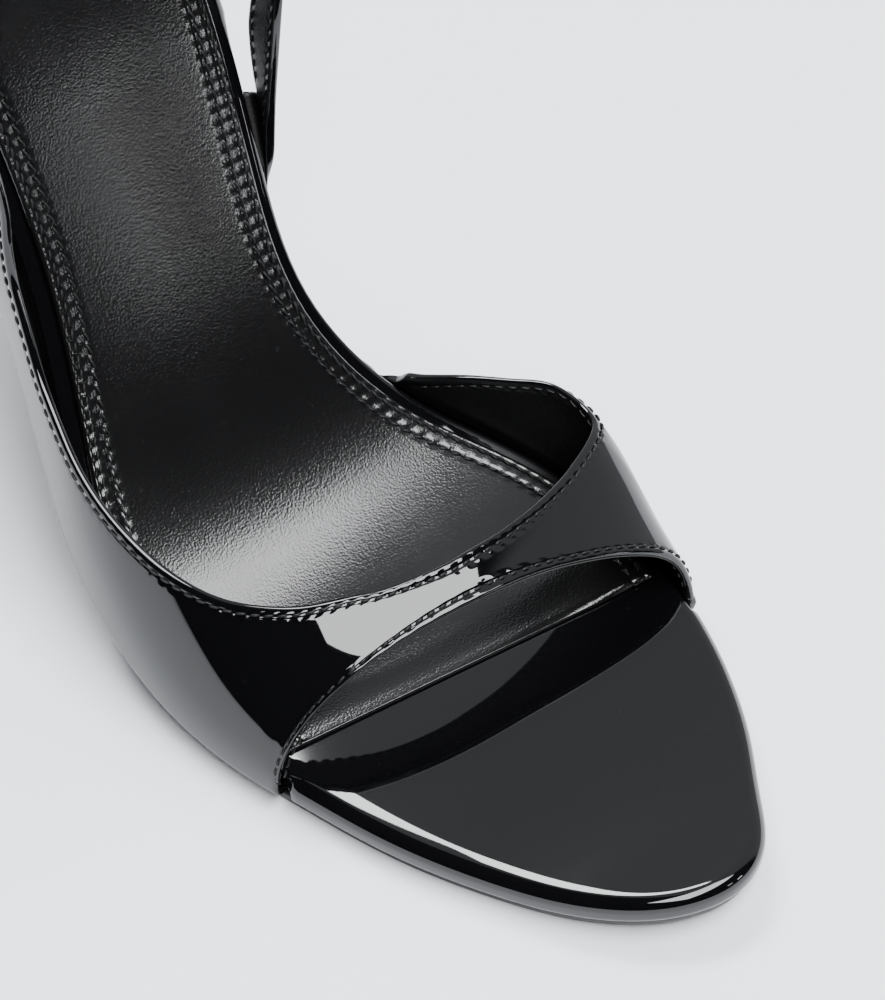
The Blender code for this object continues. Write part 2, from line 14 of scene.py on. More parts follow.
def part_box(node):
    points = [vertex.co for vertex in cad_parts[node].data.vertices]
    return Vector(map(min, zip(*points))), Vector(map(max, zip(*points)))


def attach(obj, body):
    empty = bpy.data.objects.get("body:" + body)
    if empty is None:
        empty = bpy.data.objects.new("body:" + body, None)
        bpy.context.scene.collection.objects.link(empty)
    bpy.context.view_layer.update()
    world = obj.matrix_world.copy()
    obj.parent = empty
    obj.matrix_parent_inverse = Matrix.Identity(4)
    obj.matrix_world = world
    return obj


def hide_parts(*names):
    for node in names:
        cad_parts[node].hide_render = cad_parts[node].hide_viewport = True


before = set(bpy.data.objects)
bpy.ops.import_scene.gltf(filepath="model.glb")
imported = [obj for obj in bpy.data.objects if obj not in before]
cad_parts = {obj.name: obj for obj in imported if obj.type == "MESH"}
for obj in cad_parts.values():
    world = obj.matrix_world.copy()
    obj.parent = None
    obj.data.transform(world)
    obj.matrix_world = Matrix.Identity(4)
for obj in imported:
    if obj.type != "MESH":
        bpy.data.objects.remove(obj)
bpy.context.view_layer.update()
print("CAD nodes:", sorted(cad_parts))

# %% [markdown]
# The maker starts from a last, a solid foot form. Its lengths are given here once,
# in metres, and the tables hold shares of them, so that all pieces share one form.

# %% Sizes of the shoe
LENGTH = 0.203            # toe tip to the back of the heel seat, measured level
BALL_WIDTH = 0.0704       # widest part of the bed
INSTEP = 0.055            # height of the last over the bed where the sling begins
TIP_LEAN = 0.0086         # how far the toe tip leans to the inner side
TIP_FADE = 0.025          # length over which that lean dies out
SOLE_AND_BED = 0.0068     # floor to the top of the bed, under the ball
BED = 0.0047              # wrapped insole board
GAP = 0.0003              # room left for glue between two pieces
SOLE_INSET = 0.0012       # the leather sole stands in from the rim of the bed
WALL = 0.0015             # leather and lining of the upper
MARGIN_WALL = 0.0008      # the same, skived under the bed
MARGIN = 0.0052           # reach of the lasting margin under the bed
FEATHER = 0.0018          # outer radius where the upper turns under
WALL_DROP = 0.0020        # depth under the top of the bed where the last starts
SOCK = 0.0012             # padded sock
SOCK_INSET = 0.0034       # rim of bare patent left round the sock
SOCK_PAD = 0.0006         # how far the padding lifts the middle of the sock
STRAP_WIDTH = 0.0098      # sling strap
HEEL_TIP = 0.0062         # height of the top piece
SEAT_INSET = 0.0010       # the heel stands in from the rim of the seat
BREAST = 0.812            # share of length where the sole ends and the heel begins
REBATE_SIDE = 0.0008      # the bed stands in where the upper lies against it
SOCK_FRONT = 0.262        # front edge of the sock, share of length
SOCK_SLANT = 0.0038       # slant of that edge
SOCK_FADE = 0.030         # length over which the slant dies out
SKIVE = 0.010             # length over which the sock is thinned to its front edge
SKIVED = 0.4              # share of its thickness that the sock keeps at that edge
PLAN_SOFT = 0.035         # share of the turn from tip to back over which the plan is eased
SIDE_SOFT = 0.003         # length over which side view and last are eased
SLING_SOFT = 0.004        # length over which the sling's line is eased
SLING_EASE = 0.030        # length over which the sling turns from the band's ends
LEVEL_FROM, LEVEL_TO = 0.168, 0.276   # flat spot under the ball, shares of length
BALL_AT = 0.22            # where the height of the ball is set, share of length

# %% Tables of sections
# share of length, inner and outer half width as shares of the ball
PLAN = (
    (0.020, 0.149, 0.139), (0.059, 0.254, 0.222), (0.118, 0.386, 0.298),
    (0.187, 0.479, 0.375), (0.256, 0.526, 0.429), (0.325, 0.532, 0.478),
    (0.394, 0.466, 0.501), (0.468, 0.312, 0.484), (0.542, 0.236, 0.402),
    (0.616, 0.293, 0.324), (0.690, 0.349, 0.300), (0.788, 0.358, 0.330),
    (0.887, 0.361, 0.349), (0.946, 0.305, 0.303),
)
# share of length, slope of the bed in degrees
PITCH = (
    (0.000, -11.0), (0.079, -5.5), (0.158, 0.0), (0.286, 0.0), (0.325, 5.5),
    (0.369, 14.2), (0.443, 30.5), (0.517, 43.6), (0.591, 49.6), (0.665, 50.9),
    (0.739, 45.0), (0.813, 33.0), (0.887, 24.0), (1.000, 19.0),
)
# share of length, inner and outer stand out, crown height, inner and outer swell
LAST = (
    (0.197, 0.0135, 0.0135, 0.318, 0.022, 0.000),
    (0.256, 0.0135, 0.0135, 0.373, 0.055, 0.000),
    (0.315, 0.0135, 0.0135, 0.473, 0.108, 0.000),
    (0.384, 0.0135, 0.0135, 0.618, 0.136, 0.009),
    (0.453, 0.0135, 0.0190, 0.782, 0.062, 0.014),
    (0.522, 0.0135, 0.0300, 0.909, 0.020, 0.014),
    (0.591, 0.0220, 0.0500, 1.000, 0.110, 0.009),
    (0.615, 0.0400, 0.0550, 1.030, 0.120, 0.012),
    (0.665, 0.0450, 0.0640, 1.091, 0.170, 0.020),
    (0.739, 0.0450, 0.0700, 1.164, 0.170, 0.030),
)
# lower edge and upper edge of the band: share of length and turn round the foot
BAND = (
    (0.640, 0.030, 0.604, 0.125), (0.632, 0.000, 0.598, 0.100),
    (0.618, 0.000, 0.585, 0.082), (0.571, 0.000, 0.552, 0.083),
    (0.507, 0.000, 0.500, 0.116), (0.438, 0.000, 0.441, 0.160),
    (0.374, 0.000, 0.394, 0.200), (0.318, 0.000, 0.359, 0.240),
    (0.283, 0.000, 0.334, 0.285), (0.270, 0.000, 0.323, 0.312),
    (0.271, 0.090, 0.313, 0.346), (0.271, 0.168, 0.307, 0.370),
    (0.268, 0.285, 0.297, 0.410), (0.263, 0.389, 0.291, 0.455),
    (0.257, 0.483, 0.288, 0.505), (0.251, 0.578, 0.288, 0.555),
    (0.241, 0.667, 0.292, 0.610), (0.233, 0.739, 0.301, 0.662),
    (0.226, 0.839, 0.312, 0.702), (0.220, 0.940, 0.323, 0.739),
    (0.216, 1.000, 0.337, 0.782), (0.236, 1.000, 0.358, 0.818),
    (0.286, 1.000, 0.380, 0.841), (0.340, 1.000, 0.406, 0.885),
    (0.393, 1.000, 0.430, 0.921), (0.443, 1.000, 0.457, 0.971),
    (0.460, 1.000, 0.467, 0.990), (0.476, 1.000, 0.476, 1.320),
    (0.512, 1.000, 0.512, 1.380), (0.570, 1.000, 0.570, 1.380),
    (0.594, 1.000, 0.589, 1.250), (0.610, 1.000, 0.600, 0.990),
    (0.628, 1.000, 0.607, 0.945), (0.644, 0.985, 0.612, 0.915),
    (0.650, 0.970, 0.618, 0.885),
)
# the sling: share of length, side step in balls, height in lengths
SLING = (
    (0.650, -0.400, 0.395), (0.712, -0.415, 0.520), (0.800, -0.405, 0.632),
    (0.905, -0.325, 0.712), (0.990, -0.165, 0.752), (1.022, 0.030, 0.764),
    (0.990, 0.215, 0.752), (0.905, 0.392, 0.708), (0.800, 0.478, 0.618),
    (0.712, 0.492, 0.492), (0.666, 0.458, 0.372),
)
# heel: share of the way down, front and back as shares of length, half width in balls
HEEL = (
    (0.00, 0.826, 1.002, 0.330), (0.06, 0.840, 1.001, 0.300),
    (0.14, 0.862, 0.996, 0.240), (0.27, 0.878, 0.986, 0.170),
    (0.45, 0.887, 0.972, 0.118), (0.66, 0.891, 0.959, 0.092),
    (0.85, 0.895, 0.950, 0.077), (1.00, 0.896, 0.945, 0.072),
)
# where the upper is lasted under the bed, inner and outer side
LASTED = {
    1: ((0.205, 0.0), (0.210, 1.0), (0.655, 1.0), (0.670, 0.0)),
    -1: ((0.262, 0.0), (0.267, 1.0), (0.642, 1.0), (0.657, 0.0)),
}

# %% [markdown]
# A hand drawn curve runs through its marks without swinging past them. The same
# kind of curve is worked out here from the rows of a table; it can be eased a
# little more by averaging over a short window, as a file rounds a pattern's edge.

# %% A curve through the rows of a table
def smooth(x, xs, ys, soft=0.0, snug=True):
    xs, ys = np.asarray(xs, float), np.asarray(ys, float)
    x = np.asarray(x, float)
    step = np.diff(xs)
    rise = np.diff(ys) / step
    tilt = np.concatenate([rise[:1], np.zeros(len(xs) - 2), rise[-1:]])
    a, b = rise[:-1], rise[1:]
    if snug:
        w1, w2 = 2 * step[1:] + step[:-1], step[1:] + 2 * step[:-1]
        same = a * b > 0
        safe_a, safe_b = np.where(same, a, 1.0), np.where(same, b, 1.0)
        tilt[1:-1] = np.where(same, (w1 + w2) / (w1 / safe_a + w2 / safe_b), 0.0)
    else:
        tilt[1:-1] = (a * step[1:] + b * step[:-1]) / (step[1:] + step[:-1])

    def at(v):
        k = np.clip(np.searchsorted(xs, v) - 1, 0, len(xs) - 2)
        u = (v - xs[k]) / step[k]
        c = np.clip(u, 0.0, 1.0)
        y = (2 * c**3 - 3 * c**2 + 1) * ys[k] + (3 * c**2 - 2 * c**3) * ys[k + 1]
        y = y + (c**3 - 2 * c**2 + c) * step[k] * tilt[k]
        y = y + (c**3 - c**2) * step[k] * tilt[k + 1]
        return y + (u - c) * step[k] * np.where(u < 0, tilt[0], tilt[-1])

    if soft == 0.0:
        return at(x)
    offsets = np.linspace(-1.0, 1.0, 9)
    weights = np.cos(offsets * np.pi / 2.2)**2
    weights = weights / weights.sum()
    return sum(w * at(x + soft * o) for w, o in zip(weights, offsets))


def column(table, index):
    return np.array([row[index] for row in table])


def eased(share):
    return share * share * (3 - 2 * share)


# %% [markdown]
# The bed is drawn in plan and in side view. A place along the shoe is t, metres
# back from the toe tip, and q spreads the cross rows so that both round ends get
# enough of them.

# %% Plan and side view of the bed
def q_of(t):
    return np.arccos(np.clip(1 - 2 * np.asarray(t, float) / LENGTH, -1.0, 1.0)) / np.pi


def t_of(q):
    return LENGTH * (1 - np.cos(np.pi * np.asarray(q, float))) / 2


PLAN_Q = q_of(column(PLAN, 0) * LENGTH)
PLAN_Q = np.concatenate([[-PLAN_Q[0], 0.0], PLAN_Q, [1.0, 2.0 - PLAN_Q[-1]]])


def half_width(q, side):
    share = column(PLAN, 1 if side > 0 else 2)
    share = np.concatenate([[-share[0], 0.0], share, [0.0, -share[-1]]])
    return BALL_WIDTH * smooth(q, PLAN_Q, share, PLAN_SOFT)


def plan_point(q, side):
    t = t_of(q)
    x = TIP_LEAN * np.exp(-t / TIP_FADE) + side * half_width(q, side)
    return np.stack([x, t], -1)


def rim(q, side, inset):
    q = np.asarray(q, float)
    small = 1e-3
    ahead, behind = np.clip(q + small, 0, 1), np.clip(q - small, 0, 1)
    run = plan_point(ahead, side) - plan_point(behind, side)
    run[q <= small] = (side, 0.0)
    run[q >= 1 - small] = (-side, 0.0)
    run = run / np.linalg.norm(run, axis=-1, keepdims=True)
    inward = np.stack([-run[..., 1], run[..., 0]], -1) * side
    return plan_point(q, side) + inward * np.asarray(inset)[..., None]


PROFILE_T = np.linspace(-0.006, LENGTH + 0.012, 881)
PITCH_DEG = smooth(PROFILE_T, column(PITCH, 0) * LENGTH, column(PITCH, 1), SIDE_SOFT)
LEVEL = (PROFILE_T > LEVEL_FROM * LENGTH) & (PROFILE_T < LEVEL_TO * LENGTH)
RISE = np.where(LEVEL, 0.0, np.tan(np.radians(PITCH_DEG)))
PROFILE_Z = np.cumsum((RISE[1:] + RISE[:-1]) / 2 * np.diff(PROFILE_T))
PROFILE_Z = np.concatenate([[0], PROFILE_Z])
PROFILE_Z = PROFILE_Z - np.interp(BALL_AT * LENGTH, PROFILE_T, PROFILE_Z) + SOLE_AND_BED


def bed_height(t):
    return np.interp(t, PROFILE_T, PROFILE_Z)


def bed_lean(t):
    return np.interp(t, PROFILE_T, np.maximum(np.arctan(RISE), 0.0))


def under_bed(plan, depth):
    x, t = plan[..., 0], plan[..., 1]
    lean = bed_lean(t)
    up, back = bed_height(t) - depth * np.cos(lean), t + depth * np.sin(lean)
    return np.stack([x, back, up], -1)


def lasted(t, side):
    rows = LASTED[side]
    return np.interp(t, column(rows, 0) * LENGTH, column(rows, 1))


around = np.linspace(0.0, 1.0, 801)
sole_in = np.full(len(around), SOLE_INSET)
sole_x = np.concatenate([rim(around, side, sole_in)[:, 0] for side in (-1, 1)])
shift = Vector((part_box("outsole")[0].x - sole_x.min(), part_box("footbed")[0].y, 0.0))
print("the bed runs back from", tuple(round(v, 4) for v in shift))

# %% [markdown]
# Meshes are made straight from grids of points. A slab such as the bed is a grid on
# top, a grid below and rings of points round its rim.

# %% Mesh helpers
def link_mesh(name, points, faces, material):
    mesh = bpy.data.meshes.new(name)
    mesh.from_pydata(np.asarray(points, float).tolist(), [], faces)
    mesh.transform(Matrix.Translation(shift))
    mesh.validate()
    mesh.shade_smooth()
    mesh.materials.append(material)
    piece = bpy.data.objects.new(name, mesh)
    bpy.context.scene.collection.objects.link(piece)
    return piece


def cross_rows(q, columns, inset, depth, slant=0.0):
    shares = np.linspace(0.0, 1.0, columns + 1)
    t = t_of(q)
    fade = np.clip(1 - (t - t[0]) / SOCK_FADE, 0, 1)[:, None]**2
    t = t[:, None] + slant * (1 - 2 * shares)[None, :] * fade
    q = np.where(fade > 0, q_of(t), np.asarray(q)[:, None])
    sides = []
    for side in (-1, 1):
        step = inset(t[:, 0], side) if callable(inset) else inset
        step = np.broadcast_to(np.asarray(step, float).reshape(-1, 1), q.shape)
        sides.append(rim(q, side, step))
    plan = sides[0] * (1 - shares[:, None]) + sides[1] * shares[:, None]
    return under_bed(plan, depth(t, shares) if callable(depth) else depth)


def border(n, m):
    index = np.arange(n * m).reshape(n, m)
    return np.concatenate([index[0, :-1], index[:-1, -1], index[-1, :0:-1], index[:0:-1, 0]])


def slab(name, material, rings):
    n, m = rings[0].shape[:2]
    ring = border(n, m)
    points = [rings[0].reshape(-1, 3)]
    loops = [ring]
    start = n * m
    for rows in rings[1:-1]:
        points.append(rows.reshape(-1, 3)[ring])
        loops.append(start + np.arange(len(ring)))
        start += len(ring)
    points.append(rings[-1].reshape(-1, 3))
    loops.append(start + ring)
    faces = []
    for low, high in zip(loops, loops[1:]):
        ahead = np.roll(np.arange(len(low)), -1)
        faces += np.stack([low, low[ahead], high[ahead], high], -1).tolist()
    index = np.arange(n * m).reshape(n, m)
    quads = np.stack([index[:-1, :-1], index[:-1, 1:], index[1:, 1:], index[1:, :-1]], -1)
    quads = quads.reshape(-1, 4)
    faces += quads[:, ::-1].tolist() + (quads + start).tolist()
    piece = link_mesh(name, np.concatenate(points), faces, material)
    tidy_normals(piece)
    return piece


def tidy_normals(piece):
    bm = bmesh.new()
    bm.from_mesh(piece.data)
    bmesh.ops.remove_doubles(bm, verts=bm.verts, dist=2e-6)
    bmesh.ops.dissolve_degenerate(bm, edges=bm.edges, dist=1e-6)
    bmesh.ops.recalc_face_normals(bm, faces=bm.faces)
    bm.to_mesh(piece.data)
    bm.free()
    piece.data.shade_smooth()


def way(points):
    """Distance run along a line of points."""
    return np.concatenate([[0], np.cumsum(np.linalg.norm(np.diff(points, axis=0), axis=1))])


def unit(rows):
    return rows / np.maximum(np.linalg.norm(rows, axis=-1, keepdims=True), 1e-12)


# %% [markdown]
# A stitch is a short length of thread that comes up through one hole and goes down
# through the next. A row is cut into even lengths, and each gets a small arched bead
# of thread that dips into the leather at both ends. A whole row is one joined mesh.

# %% Stitches
BEAD_AT = np.array([-1.0, -0.82, -0.35, 0.35, 0.82, 1.0])
BEAD_WIDE = np.array([0.30, 0.80, 1.0, 1.0, 0.80, 0.30])
BEAD_SIDES = 6
BEAD_LIFT, BEAD_ARCH = 0.20, 0.45   # middle over the leather, dip of the ends, in threads
PITCH_STITCH = 0.0020     # from one stitch to the next
SOCK_STITCH, BAND_STITCH = 0.00160, 0.00150
SOCK_THREAD, BAND_THREAD, LINING_THREAD = 0.00042, 0.00040, 0.00038
STITCH_SKEW = 16          # degrees that the sock's stitches stand askew of their row
BAND_SKEW = 0.10          # the same for the band, in radians


def along_run(at, run, line):
    return np.stack([np.interp(at, run, line[:, k]) for k in range(3)], -1)


def bead_rows(name, rows, length, thick, skew):
    """One joined mesh of thread beads along rows of points and outward directions."""
    points, faces = [], []
    for line, out in rows:
        run = way(line)
        if run[-1] < 2 * PITCH_STITCH:
            continue
        at = np.arange(PITCH_STITCH / 2, run[-1] - PITCH_STITCH / 2, PITCH_STITCH)
        centre = along_run(at, run, line)
        near = PITCH_STITCH / 4
        ahead = unit(along_run(at + near, run, line) - along_run(at - near, run, line))
        up = unit(along_run(at, run, out))
        aside = unit(np.cross(up, ahead))
        ahead = unit(ahead * np.cos(skew) + aside * np.sin(skew))
        aside = unit(np.cross(up, ahead))
        for c, u, v, w in zip(centre, ahead, aside, up):
            start = len(points)
            for place, wide in zip(BEAD_AT, BEAD_WIDE):
                lift = BEAD_LIFT - BEAD_ARCH * place**2
                base = c + u * place * length / 2 + w * thick * lift
                for angle in np.arange(BEAD_SIDES) * 2 * np.pi / BEAD_SIDES:
                    points.append(base + (v * np.cos(angle) + w * np.sin(angle)) * wide * thick / 2)
            for ring_no in range(len(BEAD_AT) - 1):
                for i in range(BEAD_SIDES):
                    j = (i + 1) % BEAD_SIDES
                    a = start + ring_no * BEAD_SIDES
                    faces.append((a + i, a + j, a + BEAD_SIDES + j, a + BEAD_SIDES + i))
            end = start + (len(BEAD_AT) - 1) * BEAD_SIDES
            faces.append(tuple(start + i for i in reversed(range(BEAD_SIDES))))
            faces.append(tuple(end + i for i in range(BEAD_SIDES)))
    piece = link_mesh(name, points, faces, thread)
    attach(piece, "root")
    print(name, "stitches:", len(points) // (len(BEAD_AT) * BEAD_SIDES))


# %% [markdown]
# Every leather here is black, so its look is almost all reflection. What tells the
# pieces apart is relief: a pebble grain on the padded sock, a sunk seam where a row
# of stitches pulls the leather in, and the faint smudges that every new shoe picks
# up on the shop floor. Each of these is one node group, used by several materials.

# %% Node helpers
def new_group(name, inputs, outputs):
    group = bpy.data.node_groups.new(name, "ShaderNodeTree")
    for label, kind, value in inputs:
        socket = group.interface.new_socket(label, in_out="INPUT", socket_type=kind)
        socket.default_value = value
    for label, kind in outputs:
        group.interface.new_socket(label, in_out="OUTPUT", socket_type=kind)
    first = group.nodes.new("NodeGroupInput")
    last_node = group.nodes.new("NodeGroupOutput")
    return group, first.outputs, last_node.inputs


def put(tree, source, socket):
    if isinstance(source, bpy.types.NodeSocket):
        tree.links.new(source, socket)
    else:
        socket.default_value = source


def maths(tree, kind, a, b=0.0, c=0.0):
    node = tree.nodes.new("ShaderNodeMath")
    node.operation = kind
    for socket, value in zip(node.inputs, (a, b, c)):
        put(tree, value, socket)
    return node.outputs[0]


def ramp(tree, value, low, high):
    node = tree.nodes.new("ShaderNodeMapRange")
    node.interpolation_type = "SMOOTHSTEP"
    for socket, entry in zip(node.inputs, (value, low, high, 0.0, 1.0)):
        put(tree, entry, socket)
    return node.outputs[0]


def noise(tree, place, scale, detail):
    node = tree.nodes.new("ShaderNodeTexNoise")
    put(tree, place, node.inputs["Vector"])
    put(tree, scale, node.inputs["Scale"])
    node.inputs["Detail"].default_value = detail
    return node.outputs["Fac"]


# %% Shared effects
FLOAT, POINT = "NodeSocketFloat", "NodeSocketVector"

# Pebble grain: soft round heights with valleys between them, flattened at the top.
grain, enter, leave = new_group(
    "Pebble grain",
    [("Place", POINT, (0, 0, 0)), ("Cells per metre", FLOAT, 1500.0), ("Depth", FLOAT, 0.00002)],
    [("Height", FLOAT)])
pebbles = ramp(grain, noise(grain, enter["Place"], enter["Cells per metre"], 1.0), 0.25, 0.75)
put(grain, maths(grain, "MULTIPLY", pebbles, enter["Depth"]), leave["Height"])

# Seam: a sunk line at a set way in from the edge, pulled deeper at each stitch hole,
# with small puckers that run out from the holes and die away.
TROUGH_EDGE, TROUGH_FLOOR = 0.00055, 0.00010   # half widths of the trough, metres
PULL_FLOOR = 0.0002       # half width of the flat middle of the pulled in strip
PUCKER, PULLED_IN = 0.35, 0.5                  # shares of the seam's depth
seam, enter, leave = new_group(
    "Seam relief",
    [("Edge", FLOAT, 1.0), ("Along", FLOAT, 0.0), ("Line", FLOAT, 0.0015),
     ("Pitch", FLOAT, 0.002), ("Depth", FLOAT, 0.00012), ("Reach", FLOAT, 0.0014)],
    [("Height", FLOAT)])
off = maths(seam, "ABSOLUTE", maths(seam, "SUBTRACT", enter["Edge"], enter["Line"]))
trough = ramp(seam, off, TROUGH_EDGE, TROUGH_FLOOR)
near = ramp(seam, off, enter["Reach"], PULL_FLOOR)
phase = maths(seam, "MULTIPLY", maths(seam, "DIVIDE", enter["Along"], enter["Pitch"]), 2 * np.pi)
pucker = maths(seam, "MULTIPLY", near, PUCKER)
wave = maths(seam, "MULTIPLY", maths(seam, "SINE", phase), pucker)
sunk = maths(seam, "ADD", trough, maths(seam, "MULTIPLY", near, PULLED_IN))
total = maths(seam, "SUBTRACT", wave, sunk)
put(seam, maths(seam, "MULTIPLY", total, enter["Depth"]), leave["Height"])

# Handling: faint smears and specks of dust that dull a gloss in places.
handling, enter, leave = new_group(
    "Handling marks",
    [("Place", POINT, (0, 0, 0)), ("Gloss", FLOAT, 0.05), ("Dulling", FLOAT, 0.03)],
    [("Roughness", FLOAT), ("Dust", FLOAT)])
smear = ramp(handling, noise(handling, enter["Place"], 38.0, 4.0), 0.45, 0.75)
speck = ramp(handling, noise(handling, enter["Place"], 900.0, 2.0), 0.70, 0.78)
dulled = maths(handling, "MULTIPLY_ADD", smear, enter["Dulling"], enter["Gloss"])
put(handling, dulled, leave["Roughness"])
put(handling, speck, leave["Dust"])
print("node groups:", [group.name for group in bpy.data.node_groups])

# %% [markdown]
# The materials themselves only choose numbers: how glossy, which grain, which seams.
# Patent leather is a black leather under a clear film, so it is smooth as glass with
# a slow waviness; the sock is soft nappa; the lining is the same hide left matt.

# %% Materials
SEAM_LINE = 0.0015        # way of a stitch row from the edge of the band
SOCK_LINES = (0.0046, 0.0066)   # the two rows of the sock, from the rim of the bed


def leather(name, colour, gloss, dulling, cells_per_metre, depth, lines=(), seam_depth=0.0001,
            wave_depth=0.0, dust=0.02, ior=1.5):
    material = bpy.data.materials.new(name)
    material.use_nodes = True
    tree = material.node_tree
    shader = tree.nodes["Principled BSDF"]
    place = tree.nodes.new("ShaderNodeTexCoord").outputs["Object"]
    marks = tree.nodes.new("ShaderNodeGroup")
    marks.node_tree = handling
    put(tree, place, marks.inputs["Place"])
    marks.inputs["Gloss"].default_value = gloss
    marks.inputs["Dulling"].default_value = dulling
    put(tree, marks.outputs["Roughness"], shader.inputs["Roughness"])
    tint = tree.nodes.new("ShaderNodeMix")
    tint.data_type = "RGBA"
    put(tree, maths(tree, "MULTIPLY", marks.outputs["Dust"], dust), tint.inputs["Factor"])
    tint.inputs["A"].default_value = (*colour, 1.0)
    tint.inputs["B"].default_value = (0.30, 0.30, 0.31, 1.0)
    put(tree, tint.outputs["Result"], shader.inputs["Base Color"])
    shader.inputs["IOR"].default_value = ior
    height = 0.0
    if depth:
        grains = tree.nodes.new("ShaderNodeGroup")
        grains.node_tree = grain
        put(tree, place, grains.inputs["Place"])
        grains.inputs["Cells per metre"].default_value = cells_per_metre
        grains.inputs["Depth"].default_value = depth
        height = grains.outputs["Height"]
    if wave_depth:
        height = maths(tree, "MULTIPLY_ADD", noise(tree, place, 55.0, 0.0), wave_depth, height)
    for line in lines:
        edge = tree.nodes.new("ShaderNodeAttribute")
        edge.attribute_name = "edge"
        along = tree.nodes.new("ShaderNodeAttribute")
        along.attribute_name = "along"
        row = tree.nodes.new("ShaderNodeGroup")
        row.node_tree = seam
        put(tree, edge.outputs["Fac"], row.inputs["Edge"])
        put(tree, along.outputs["Fac"], row.inputs["Along"])
        row.inputs["Line"].default_value = line
        row.inputs["Pitch"].default_value = PITCH_STITCH
        row.inputs["Depth"].default_value = seam_depth
        height = maths(tree, "ADD", height, row.outputs["Height"])
    bump = tree.nodes.new("ShaderNodeBump")
    bump.inputs["Strength"].default_value = 1.0
    bump.inputs["Distance"].default_value = 1.0
    put(tree, height, bump.inputs["Height"])
    put(tree, bump.outputs["Normal"], shader.inputs["Normal"])
    return material


BLACK = (0.0020, 0.0020, 0.0024)
patent = leather("patent", BLACK, 0.030, 0.015, 0.0, 0.0, wave_depth=0.00006, dust=0.01)
band_patent = leather("band_patent", BLACK, 0.025, 0.010, 0.0, 0.0,
                      lines=(SEAM_LINE,), seam_depth=0.00008, wave_depth=0.00008, dust=0.01)
nappa = leather("nappa", (0.0035, 0.0035, 0.0037), 0.16, 0.05, 3000.0, 0.000010,
                lines=SOCK_LINES, seam_depth=0.00010, dust=0.02)
lining = leather("lining", (0.0020, 0.0020, 0.0022), 0.42, 0.08, 2200.0, 0.000012,
                 lines=(SEAM_LINE,), seam_depth=0.00008, dust=0.02, ior=1.35)
sole_leather = leather("sole", (0.010, 0.0098, 0.0095), 0.32, 0.12, 2600.0, 0.000010, dust=0.10)
rubber = leather("rubber", (0.012, 0.012, 0.012), 0.55, 0.15, 2600.0, 0.000015, dust=0.15)
thread = leather("thread", (0.0030, 0.0030, 0.0032), 0.45, 0.05, 0.0, 0.0, dust=0.02, ior=1.35)
print("materials:", [material.name for material in bpy.data.materials])

# %% [markdown]
# The insole board is wrapped in patent leather that is drawn round its edge, so the
# rim is a soft roll of about 5 mm that carries the long white glints at the toe. It
# is made as a slab whose side rings follow that roll; where the upper is lasted
# under the bed, the rim stands back to make room for it.

# %% Footbed
# way in from the edge, depth as a share of the bed where it is plain and where the
# upper is lasted, share of the room made for the upper
BED_RIM = (
    (0.0068, 1.00, 1.00, 0), (0.0064, 1.00, 0.76, 0), (0.0016, 1.00, 0.76, 1),
    (0.0010, 0.985, 0.74, 1), (0.0006, 0.950, 0.70, 1), (0.0002, 0.86, 0.65, 1),
    (0.0000, 0.74, 0.58, 1), (0.0000, 0.62, 0.51, 1), (0.0000, 0.50, 0.44, 1),
    (0.00007, 0.39, 0.36, 1), (0.00028, 0.28, 0.28, 1), (0.00060, 0.18, 0.18, 0.6),
    (0.00100, 0.100, 0.100, 0.25), (0.00140, 0.048, 0.048, 0), (0.00185, 0.012, 0.012, 0),
    (0.0023, 0.000, 0.000, 0),
)


def build_bed():
    stations = np.linspace(0.0, 1.0, 181)
    extra = [q_of(row[0] * LENGTH) for side in (-1, 1) for row in LASTED[side]]
    q = np.unique(np.concatenate([stations, extra]))
    rings = []
    for k, (inset, shallow, cut, beside) in enumerate(BED_RIM):
        def step(t, side, inset=inset, beside=beside):
            return inset + REBATE_SIDE * beside * lasted(t, side)

        def depth(t, shares, shallow=shallow, cut=cut):
            side = np.where(shares[None, :] > 0.5, lasted(t, 1), lasted(t, -1))
            return BED * (shallow + (cut - shallow) * side)
        rings.append(cross_rows(q, 28, step, BED if k == 0 else depth))
    return slab("footbed_cover", patent, rings)


bed = build_bed()
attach(bed, "root")
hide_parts("footbed")
print("bed", len(bed.data.polygons))

# %% [markdown]
# The sock is soft leather over a thin pad. Its edge rolls down to the bed, and its
# front is skived thin, so that it ends in one fine line that slants across the toes.

# %% Sock
# way in from the edge, share of the thickness
SOCK_EDGE = (
    (0.0, 0.0), (0.0, 0.45), (0.00008, 0.68), (0.0003, 0.86), (0.0006, 0.96), (0.0011, 1.0),
)


def sock_thickness(t, shares):
    """Thickness of the padded sock; shares run from its outer side to its inner one."""
    from_front = t - SOCK_FRONT * LENGTH + SOCK_SLANT * (2 * shares - 1)
    full = eased(np.clip(from_front / SKIVE, 0.0, 1.0))
    pad = SOCK_PAD * 4 * shares * (1 - shares)
    return SOCK * (SKIVED + (1 - SKIVED) * full) + pad * full


def build_sock():
    q = np.linspace(q_of(SOCK_FRONT * LENGTH), 1.0, 150)
    rings = []
    for inset, share in SOCK_EDGE:
        def depth(t, shares, share=share):
            return -GAP - share * sock_thickness(t, shares)
        rings.append(cross_rows(q, 32, SOCK_INSET + inset, depth, SOCK_SLANT))
    return slab("sock_lining", nappa, rings)


sock = build_sock()
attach(sock, "root")
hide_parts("sock")

# %% [markdown]
# Two rows of stitches run along both sides of the sock. Every point of the sock is
# marked with its way in from the rim of the bed and its way along, so that the seam
# relief of the material sinks just where the thread lies.

